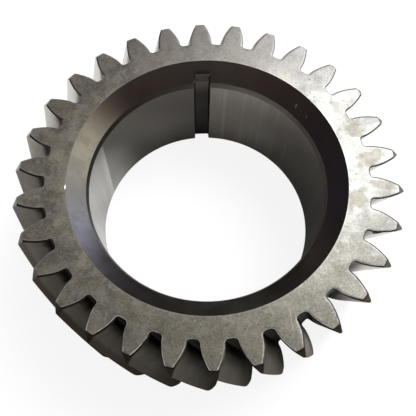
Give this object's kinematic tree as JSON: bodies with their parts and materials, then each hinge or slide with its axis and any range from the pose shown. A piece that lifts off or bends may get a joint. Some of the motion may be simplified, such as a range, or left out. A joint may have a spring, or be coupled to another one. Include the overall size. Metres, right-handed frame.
{
  "type": "crankshaft gear",
  "caption": "Helical timing gear ring for an engine's crankshaft, with deep teeth, a wide chamfered bore and one keyway.",
  "frame": {"origin": "on the bore axis, on the back face that the gear lies on", "axes": "+Z along the bore axis, out of the wide chamfered mouth of the bore; +Y from the axis towards the keyway"},
  "size_m": [0.1374, 0.1374, 0.047],
  "materials": {
    "steel": "hardened steel with ground flanks and faces, lightly oiled and stained by use"
  },
  "bodies": {
    "root": {"crankshaft_gear": "steel"}
  },
  "joints": []
}
